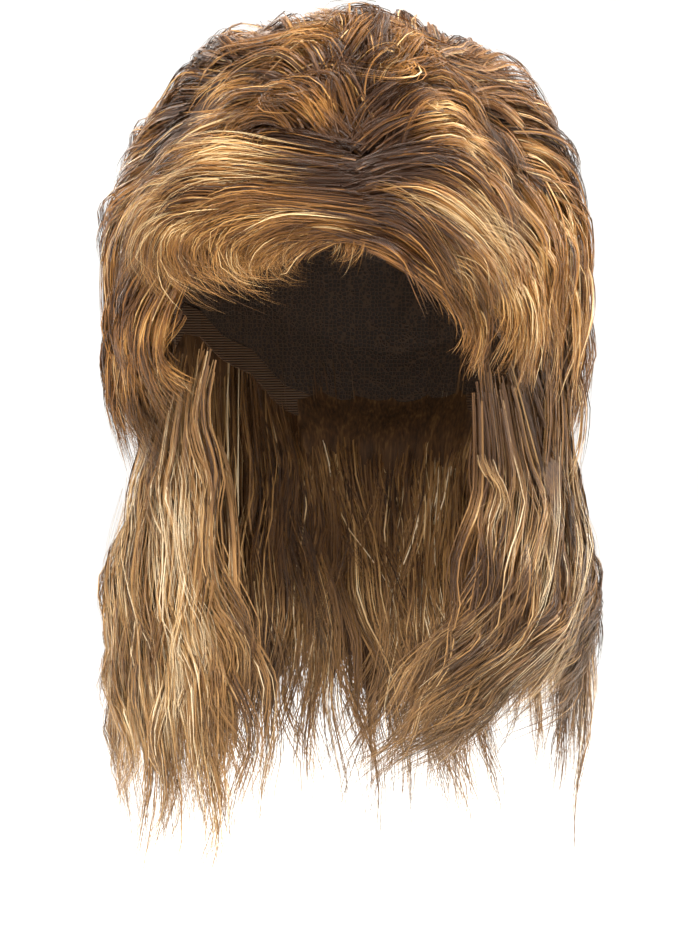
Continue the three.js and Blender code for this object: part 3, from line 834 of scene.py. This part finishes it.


# A lock's length strays by these shares, and it is fully lifted after a share of its way. Waves and
# patches are in millimetres. Tones stray over patches, and light and shade are painted on them:
# darker by the crown's roots, partly the roots' colour and partly painted shade; painted shade in
# the tease's dips and painted highlight on its crests; and painted glints where a drift is over
# its threshold.
LENGTH_SHARES = (0.8, 1.12)
LIFTED_AFTER = 0.45
WAVE_LENGTH = (60, 85)
TEASE_PATCH = 60.0
TOSS_PATCH = 24.0
TONE_PATCH = 50.0
GLINT_PATCH = 27.0
GLINT = 0.33
GLINT_THRESHOLD = 0.3
ROOT_DARKENING_AND_SHADE = 0.17
ROOT_REACH = 42.0


def dressed(row, seed):
    """Guide lines for one row of the table, as arrays of locks by stops."""
    row = {**ROW, **row}
    rng = np.random.default_rng(seed)
    count = row["locks"]
    share = (np.arange(count) + rng.uniform(0.0, 1.0, count)) / count
    other = (np.arange(count) * 0.618 + rng.uniform(0, 0.15, count)) % 1.0
    if row["combed"]:
        begin = spread(row["begin"], rng.uniform(0, 1, count) ** 1.6)
        end = rng.uniform(*row["end"], count)
        points, normals, across, heights = drawn(row["combed"], share, begin, end)
        points = points + across * rng.normal(0, row["scatter"], count)[:, None, None]
        length = np.linalg.norm(np.diff(points, axis=1), axis=-1).sum(axis=1)
    else:
        bearing = spread(row["bearing"], share)
        fall = spread(row["fall"], other)
        heading = spread(row["heading"], share) + row["astray"] * 0.4 * rng.normal(0, 1, count)
        heading = heading + row["astray"] * drift(form_point(bearing, fall), 5)
        length = spread(row["length"], share) * rng.uniform(*LENGTH_SHARES, count)
        curl = spread(row["curl"], share) + rng.normal(0, 12, count)
        points, normals, across, heights = walk(
            bearing, fall, heading, curl, length, row["away"], row["droop"]
        )
    along = np.linspace(0, 1, STEPS + 1)[None, :]
    top = rng.uniform(*row["lift"], count)[:, None]
    lift = row["root"] + (top - row["root"]) * smooth(along / LIFTED_AFTER)
    lift = lift - row["arch"] * along ** 3
    lift = lift * (1.0 + row["tease"] * drift(points, 11, TEASE_PATCH) * smooth(along / 0.3))
    turns = 2 * np.pi * length[:, None] * along / rng.uniform(*WAVE_LENGTH, count)[:, None]
    phase = 3.0 * drift(points[:, :1], 7)
    sway = row["wave"] * np.sin(phase + turns) * smooth(along / 0.5)
    sway = sway + rng.normal(0, row["loose"], count)[:, None] * along
    sway = sway + row["toss"] * drift(points[:, :1], 31, TOSS_PATCH) * along ** 2
    crimp = row["crimp"] * np.sin(1.6 * phase + 1.3 * turns) * smooth(along / 0.4)
    points = points + normals * (SEAT + heights * lift + crimp)[..., None] + across * sway[..., None]
    ahead = unit(np.gradient(points, axis=1))
    across = unit(np.cross(ahead, normals))
    taper = 1.0 - row["taper"] * along ** 1.5
    ones = np.ones((count, 1))
    tone = rng.uniform(*row["tone"], count)[:, None] + 0.1 * drift(points, 3, TONE_PATCH)
    # Tones sink around the crown's spring: partly the roots' colour, partly painted shade.
    gap = [np.linalg.norm(points - form_point(*place), axis=-1) for place in DARK_ROOTS_AND_SHADE]
    tone = tone - ROOT_DARKENING_AND_SHADE * np.exp(-(np.minimum(*gap) / ROOT_REACH) ** 4)
    # Painted shade in the tease's dips and painted highlight on its crests, from the drift that lifts them.
    tone = tone + row["tease"] * drift(points, 11, TEASE_PATCH) * smooth(along / 0.3)
    # Painted highlights: paler patches where a drift is over its threshold.
    glints = np.maximum(drift(points, 21, GLINT_PATCH) - GLINT_THRESHOLD, 0.0)
    tone = tone + GLINT * glints * smooth(along / 0.4)
    return {
        "points": points,
        "across": across,
        "face": np.cross(across, ahead),
        "half": row["half"] * taper * ones,
        "deep": row["deep"] * taper * ones,
        "along": along * ones,
        "wide": row["wide"] * np.ones_like(tone),
        "tone": tone,
    }


# %% [markdown]
# ## Sewing the hair on
# A row's guides become a mesh of edges with the attributes that the tree reads. The modifier's
# result is taken as a plain mesh, and then the guides and the modifier go.

# %% Making a fibre piece
def guide_mesh(name, rows):
    parts = {key: np.concatenate([row[key].reshape(-1, *row[key].shape[2:]) for row in rows])
             for key in ("points", "across", "face", "half", "deep", "along", "wide", "tone")}
    stops = STEPS + 1
    count = len(parts["points"])
    first = np.arange(count).reshape(-1, stops)[:, :-1].reshape(-1)
    mesh = bpy.data.meshes.new(name)
    mesh.from_pydata((parts["points"] * MM).tolist(), np.stack([first, first + 1], 1).tolist(), [])
    for key in ("half", "deep"):
        parts[key] = parts[key] * MM
    for key in ("across", "face"):
        layer = mesh.attributes.new(key, "FLOAT_VECTOR", "POINT")
        layer.data.foreach_set("vector", parts[key].astype(np.float32).ravel())
    for key in ("half", "deep", "along", "wide", "tone"):
        layer = mesh.attributes.new(key, "FLOAT", "POINT")
        layer.data.foreach_set("value", parts[key].astype(np.float32).ravel())
    return mesh


def set_inputs(modifier, values):
    """A modifier's inputs are set by their identifiers, before the object is first evaluated."""
    for item in modifier.node_group.interface.items_tree:
        if item.in_out == "INPUT" and item.name in values:
            modifier[item.identifier] = values[item.name]


def evaluated_mesh(thing, name):
    graph = bpy.context.evaluated_depsgraph_get()
    mesh = bpy.data.meshes.new_from_object(thing.evaluated_get(graph))
    mesh.name = name
    return mesh


def fibre_piece(name, rows, fibres, stops, shortest, finish):
    guides = bpy.data.objects.new(name, guide_mesh(name + "_guides", rows))
    bpy.context.scene.collection.objects.link(guides)
    modifier = guides.modifiers.new("fibres", "NODES")
    modifier.node_group = FIBRES
    set_inputs(modifier, {
        "Fibres": fibres,
        "Stops": stops,
        "Width": FIBRE_WIDTH * MM,
        "Frizz": FRIZZ * MM,
        "Stray": STRAY * MM,
        "Shortest": shortest,
        "Finish": finish,
    })
    mesh = evaluated_mesh(guides, name)
    guides.modifiers.clear()
    old = guides.data
    guides.data = mesh
    bpy.data.meshes.remove(old)
    triangles = sum(len(face.vertices) - 2 for face in mesh.polygons)
    print(f"{name}: {len(rows)} rows, {len(mesh.polygons)} faces, {triangles} triangles")
    return guides


SLOT = {
    "tail_back": "tail_hair",
    "tail_left": "tail_hair",
    "tail_right": "tail_hair",
    "back_layer": "crown_hair",
    "side_left": "crown_hair",
    "side_right": "crown_hair",
    "fringe": "crown_hair",
    "crown": "crown_hair",
}
SHORTEST = {"tail_hair": 0.7, "crown_hair": 0.6}
FIBRES_PER_LOCK = {"tail_hair": 24, "crown_hair": 24}
STOPS = {"tail_hair": 14, "crown_hair": 10}
FIBRE_WIDTH = 0.76
FRIZZ = 7.5
STRAY = 10.0

for order, (node, rows) in enumerate(WEFTS.items()):
    slot = SLOT[node]
    guides = [dressed(row, 100 * order + place) for place, row in enumerate(rows)]
    piece = fibre_piece(
        node + "_fibres", guides, FIBRES_PER_LOCK[slot], STOPS[slot], SHORTEST[slot], FINISH[slot],
    )
    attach(piece, ROOT)
    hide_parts(node)

# %% [markdown]
# ## The imported hair under the fibres
# Between the top fibres one sees more hair, deeper down. A hundred thousand fibres would show it,
# and so does a smooth body in the shape of the frame's solid, with a streaked finish that is darker
# than the fibres: the hair's colour with painted shade deep in the hair. It is the frame's mesh with
# its doubled points merged, remeshed into even small faces, pressed towards the form and smoothed.
# The tails' are a little shorter than their fibres, and the left one ends where its hair is swept
# forward, because there the fibres lie free.

# %% Imported bodies
PRESSED = 0.68
PRESSED_FRINGE = 0.55
SWEPT_PAST = 72.0
SWEPT_BELOW = 1.6
VOXEL = 4.5
SHARE_OF_LENGTH = {"tail_back": 0.85, "tail_left": 0.68, "tail_right": 0.85, "fringe": 0.8}


def streaked_material(name, dark, mid, light):
    """Streaks that run down the hair, from noise squeezed along its fall."""
    material, tree = new_material(name)
    place = tree.add("ShaderNodeTexCoord", out="Object")
    fine = tree.add(
        "ShaderNodeTexNoise",
        {},
        {"Vector": tree.vector("MULTIPLY", place, (900.0, 900.0, 60.0)), "Scale": 1.0, "Detail": 3.0},
    )
    broad = tree.add(
        "ShaderNodeTexNoise",
        {},
        {"Vector": tree.vector("MULTIPLY", place, (180.0, 180.0, 20.0)), "Scale": 1.0, "Detail": 2.0},
    )
    colour = tree.add(
        "ShaderNodeValToRGB",
        {"stops": [(0.32, dark), (0.54, mid), (0.76, light)]},
        {0: fine * 0.6 + broad * 0.4},
    )
    bump = tree.add("ShaderNodeBump", {}, {"Strength": 0.6, "Distance": 0.0006, "Height": fine})
    surface(tree, colour, 0.65, bump, **{"Specular IOR Level": 0.25})
    return material


# Darker than the fibres: the hair's colour with painted shade, so the gaps between fibres read as shadow.
UNDER = {
    "crown_hair": streaked_material(
        "packed_crown_hair", srgb(28, 14, 5), srgb(58, 34, 13), srgb(104, 66, 29)
    ),
    "tail_hair": streaked_material(
        "packed_tail_hair", srgb(44, 27, 13), srgb(82, 55, 29), srgb(128, 94, 55)
    ),
}


def packed_body(node):
    work = bmesh.new()
    work.from_mesh(frame["nodes"][node].data)
    bmesh.ops.remove_doubles(work, verts=work.verts, dist=0.02 * MM)
    mesh = bpy.data.meshes.new(node + "_packed")
    work.to_mesh(mesh)
    work.free()
    body = bpy.data.objects.new(node + "_packed", mesh)
    bpy.context.scene.collection.objects.link(body)
    remesh = body.modifiers.new("even", "REMESH")
    remesh.mode = "VOXEL"
    remesh.voxel_size = VOXEL * MM
    soft = body.modifiers.new("smooth", "SMOOTH")
    soft.iterations = 4
    soft.factor = 0.5
    new = evaluated_mesh(body, node + "_packed")
    body.modifiers.clear()
    body.data = new
    bpy.data.meshes.remove(mesh)
    places = np.empty(len(new.vertices) * 3)
    new.vertices.foreach_get("co", places)
    places = places.reshape(-1, 3) / MM
    seats = form_point(*place_of(places))
    places = seats + (places - seats) * (PRESSED_FRINGE if node == "fringe" else PRESSED)
    top = places[:, 2].max()
    places[:, 2] = top + (places[:, 2] - top) * SHARE_OF_LENGTH.get(node, 1.0)
    new.vertices.foreach_set("co", (places * MM).ravel())
    if node == "tail_left":
        bearing, fall = place_of(places)
        swept = (bearing < SWEPT_PAST) & (fall > SWEPT_BELOW)
        work = bmesh.new()
        work.from_mesh(new)
        bmesh.ops.delete(work, geom=[vertex for vertex in work.verts if swept[vertex.index]], context="VERTS")
        work.to_mesh(new)
        work.free()
    new.update()
    new.shade_smooth()
    new.materials.clear()
    new.materials.append(UNDER[SLOT[node]])
    print(f"{body.name}: {len(new.polygons)} faces")
    return body


for node in WEFTS:
    body = packed_body(node)
    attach(body, ROOT)
    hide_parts(node)

# %% [markdown]
# ## The cap
# The net is knitted mesh, and the band is woven elastic. Both are mostly hidden, so their weave is
# colour and bump on the frame's own solids.

# %% Cap finishes
def net_material():
    material, tree = new_material("knitted_net")
    place = tree.add("ShaderNodeTexCoord", out="Object")
    cells = tree.add(
        "ShaderNodeTexVoronoi",
        {"feature": "DISTANCE_TO_EDGE"},
        {"Vector": place, "Scale": 520.0, "Randomness": 0.6},
    )
    thread = tree.add("ShaderNodeMapRange", {}, {"Value": cells, "From Min": 0.05, "From Max": 0.16})
    colour = tree.mix_colour(thread, (*srgb(70, 49, 30), 1.0), (*srgb(40, 27, 16), 1.0))
    bump = tree.add("ShaderNodeBump", {}, {"Strength": 0.7, "Distance": 0.0004, "Height": 1.0 - thread})
    surface(tree, colour, 0.7, bump)
    return material


def band_material():
    material, tree = new_material("woven_elastic")
    place = tree.add("ShaderNodeTexCoord", out="Object")
    ribs = tree.add(
        "ShaderNodeTexWave",
        {"bands_direction": "Z"},
        {"Vector": place, "Scale": 260.0, "Distortion": 0.6, "Detail": 2.0},
    )
    colour = tree.mix_colour(ribs, (*srgb(50, 34, 20), 1.0), (*srgb(96, 68, 42), 1.0))
    bump = tree.add("ShaderNodeBump", {}, {"Strength": 0.8, "Distance": 0.0005, "Height": ribs})
    surface(tree, colour, 0.65, bump)
    return material


CAP_FINISH = {"cap_net": net_material(), "edge_band": band_material()}
for node, material in CAP_FINISH.items():
    mesh = frame["nodes"][node].data
    mesh.materials.clear()
    mesh.materials.append(material)
print("cap finishes:", list(CAP_FINISH))

# %% [markdown]
# ## The studio
# A wide pale dish lies under the wig and curves up all round it, so that no horizon shows from any
# side. The wig hangs in the air as it is worn. A soft key light stands above and to the left, a
# weaker one fills in from the right, a third shines down on the crown, and two strips from behind
# give the edges their shine.

# %% Backdrop
def backdrop():
    floor_z = -0.47
    flat = 3.2
    bend = 1.6
    height = 4.0
    sectors = 48
    profile = [(0.001, floor_z), (flat, floor_z)]
    for step in range(1, 13):
        turn = math.pi / 2 * step / 12
        profile.append((flat + bend * math.sin(turn), floor_z + bend * (1 - math.cos(turn))))
    profile.append((flat + bend, height))
    turns = [2 * math.pi * sector / sectors for sector in range(sectors)]
    points = [(r * math.sin(turn), r * math.cos(turn), z) for r, z in profile for turn in turns]
    faces = []
    for ring in range(len(profile) - 1):
        for sector in range(sectors):
            here, after = ring * sectors + sector, ring * sectors + (sector + 1) % sectors
            faces.append((here, here + sectors, after + sectors, after))
    mesh = bpy.data.meshes.new("pale_dish")
    mesh.from_pydata(points, [], faces)
    mesh.shade_smooth()
    dish = bpy.data.objects.new("pale_dish", mesh)
    bpy.context.scene.collection.objects.link(dish)
    material, tree = new_material("pale_paper")
    surface(
        tree, (0.88, 0.88, 0.88, 1.0), 0.9,
        **{"Emission Color": (1.0, 1.0, 1.0, 1.0), "Emission Strength": 0.3},
    )
    mesh.materials.append(material)


backdrop()


# %% Lights
CENTRE = (0.0, 0.0, -0.15)
LAMP_COLOUR = (1.0, 0.95, 0.88)
ROOM_COLOUR = (1.0, 0.98, 0.95, 1.0)
ROOM_STRENGTH = 0.25


def area_light(name, place, width, height, watts):
    """A soft lamp that faces the wig's middle."""
    lamp = bpy.data.lights.new(name, "AREA")
    lamp.shape = "RECTANGLE"
    lamp.size = width
    lamp.size_y = height
    lamp.energy = watts
    lamp.color = LAMP_COLOUR
    thing = bpy.data.objects.new(name, lamp)
    bpy.context.scene.collection.objects.link(thing)
    thing.location = place
    thing.rotation_euler = (Vector(CENTRE) - Vector(place)).to_track_quat("-Z", "Y").to_euler()


area_light("key", (-0.7, -1.5, 1.3), 0.45, 0.45, 36)
area_light("fill", (1.6, -1.2, 0.5), 1.0, 1.0, 8)
area_light("top", (0.25, -0.1, 1.4), 0.5, 0.5, 34)
area_light("rim left", (-1.0, 1.2, 0.6), 0.4, 1.2, 12)
area_light("rim right", (1.2, 0.9, 0.7), 0.4, 1.2, 28)
world = bpy.data.worlds.new("soft_room")
world.use_nodes = True
world.node_tree.nodes["Background"].inputs["Color"].default_value = ROOM_COLOUR
world.node_tree.nodes["Background"].inputs["Strength"].default_value = ROOM_STRENGTH
bpy.context.scene.world = world
bpy.context.scene.view_settings.view_transform = "Standard"

# %% [markdown]
# ## The camera
# The photograph was taken from a little to the wearer's left, level with the middle of the wig, with
# a long lens.

# %% Camera
AZIMUTH = math.radians(13.0)
ELEVATION = math.radians(2.0)
DISTANCE = 1.8
AIM = (0.0, 0.0, -0.176)
METRES_PER_PIXEL = 0.00046
PHOTO_HEIGHT = 933
SENSOR = 36.0


def studio_camera():
    lens = bpy.data.cameras.new("studio")
    lens.sensor_fit = "VERTICAL"
    lens.sensor_height = SENSOR
    lens.lens = SENSOR * DISTANCE / (METRES_PER_PIXEL * PHOTO_HEIGHT)
    lens.clip_end = 20
    thing = bpy.data.objects.new("studio", lens)
    bpy.context.scene.collection.objects.link(thing)
    flat = math.cos(ELEVATION) * DISTANCE
    thing.location = (
        AIM[0] + flat * math.sin(AZIMUTH),
        AIM[1] - flat * math.cos(AZIMUTH),
        AIM[2] + DISTANCE * math.sin(ELEVATION),
    )
    thing.rotation_euler = (math.pi / 2 - ELEVATION, 0.0, AZIMUTH)
    bpy.context.scene.camera = thing


studio_camera()

# %% Last update
bpy.context.view_layer.update()
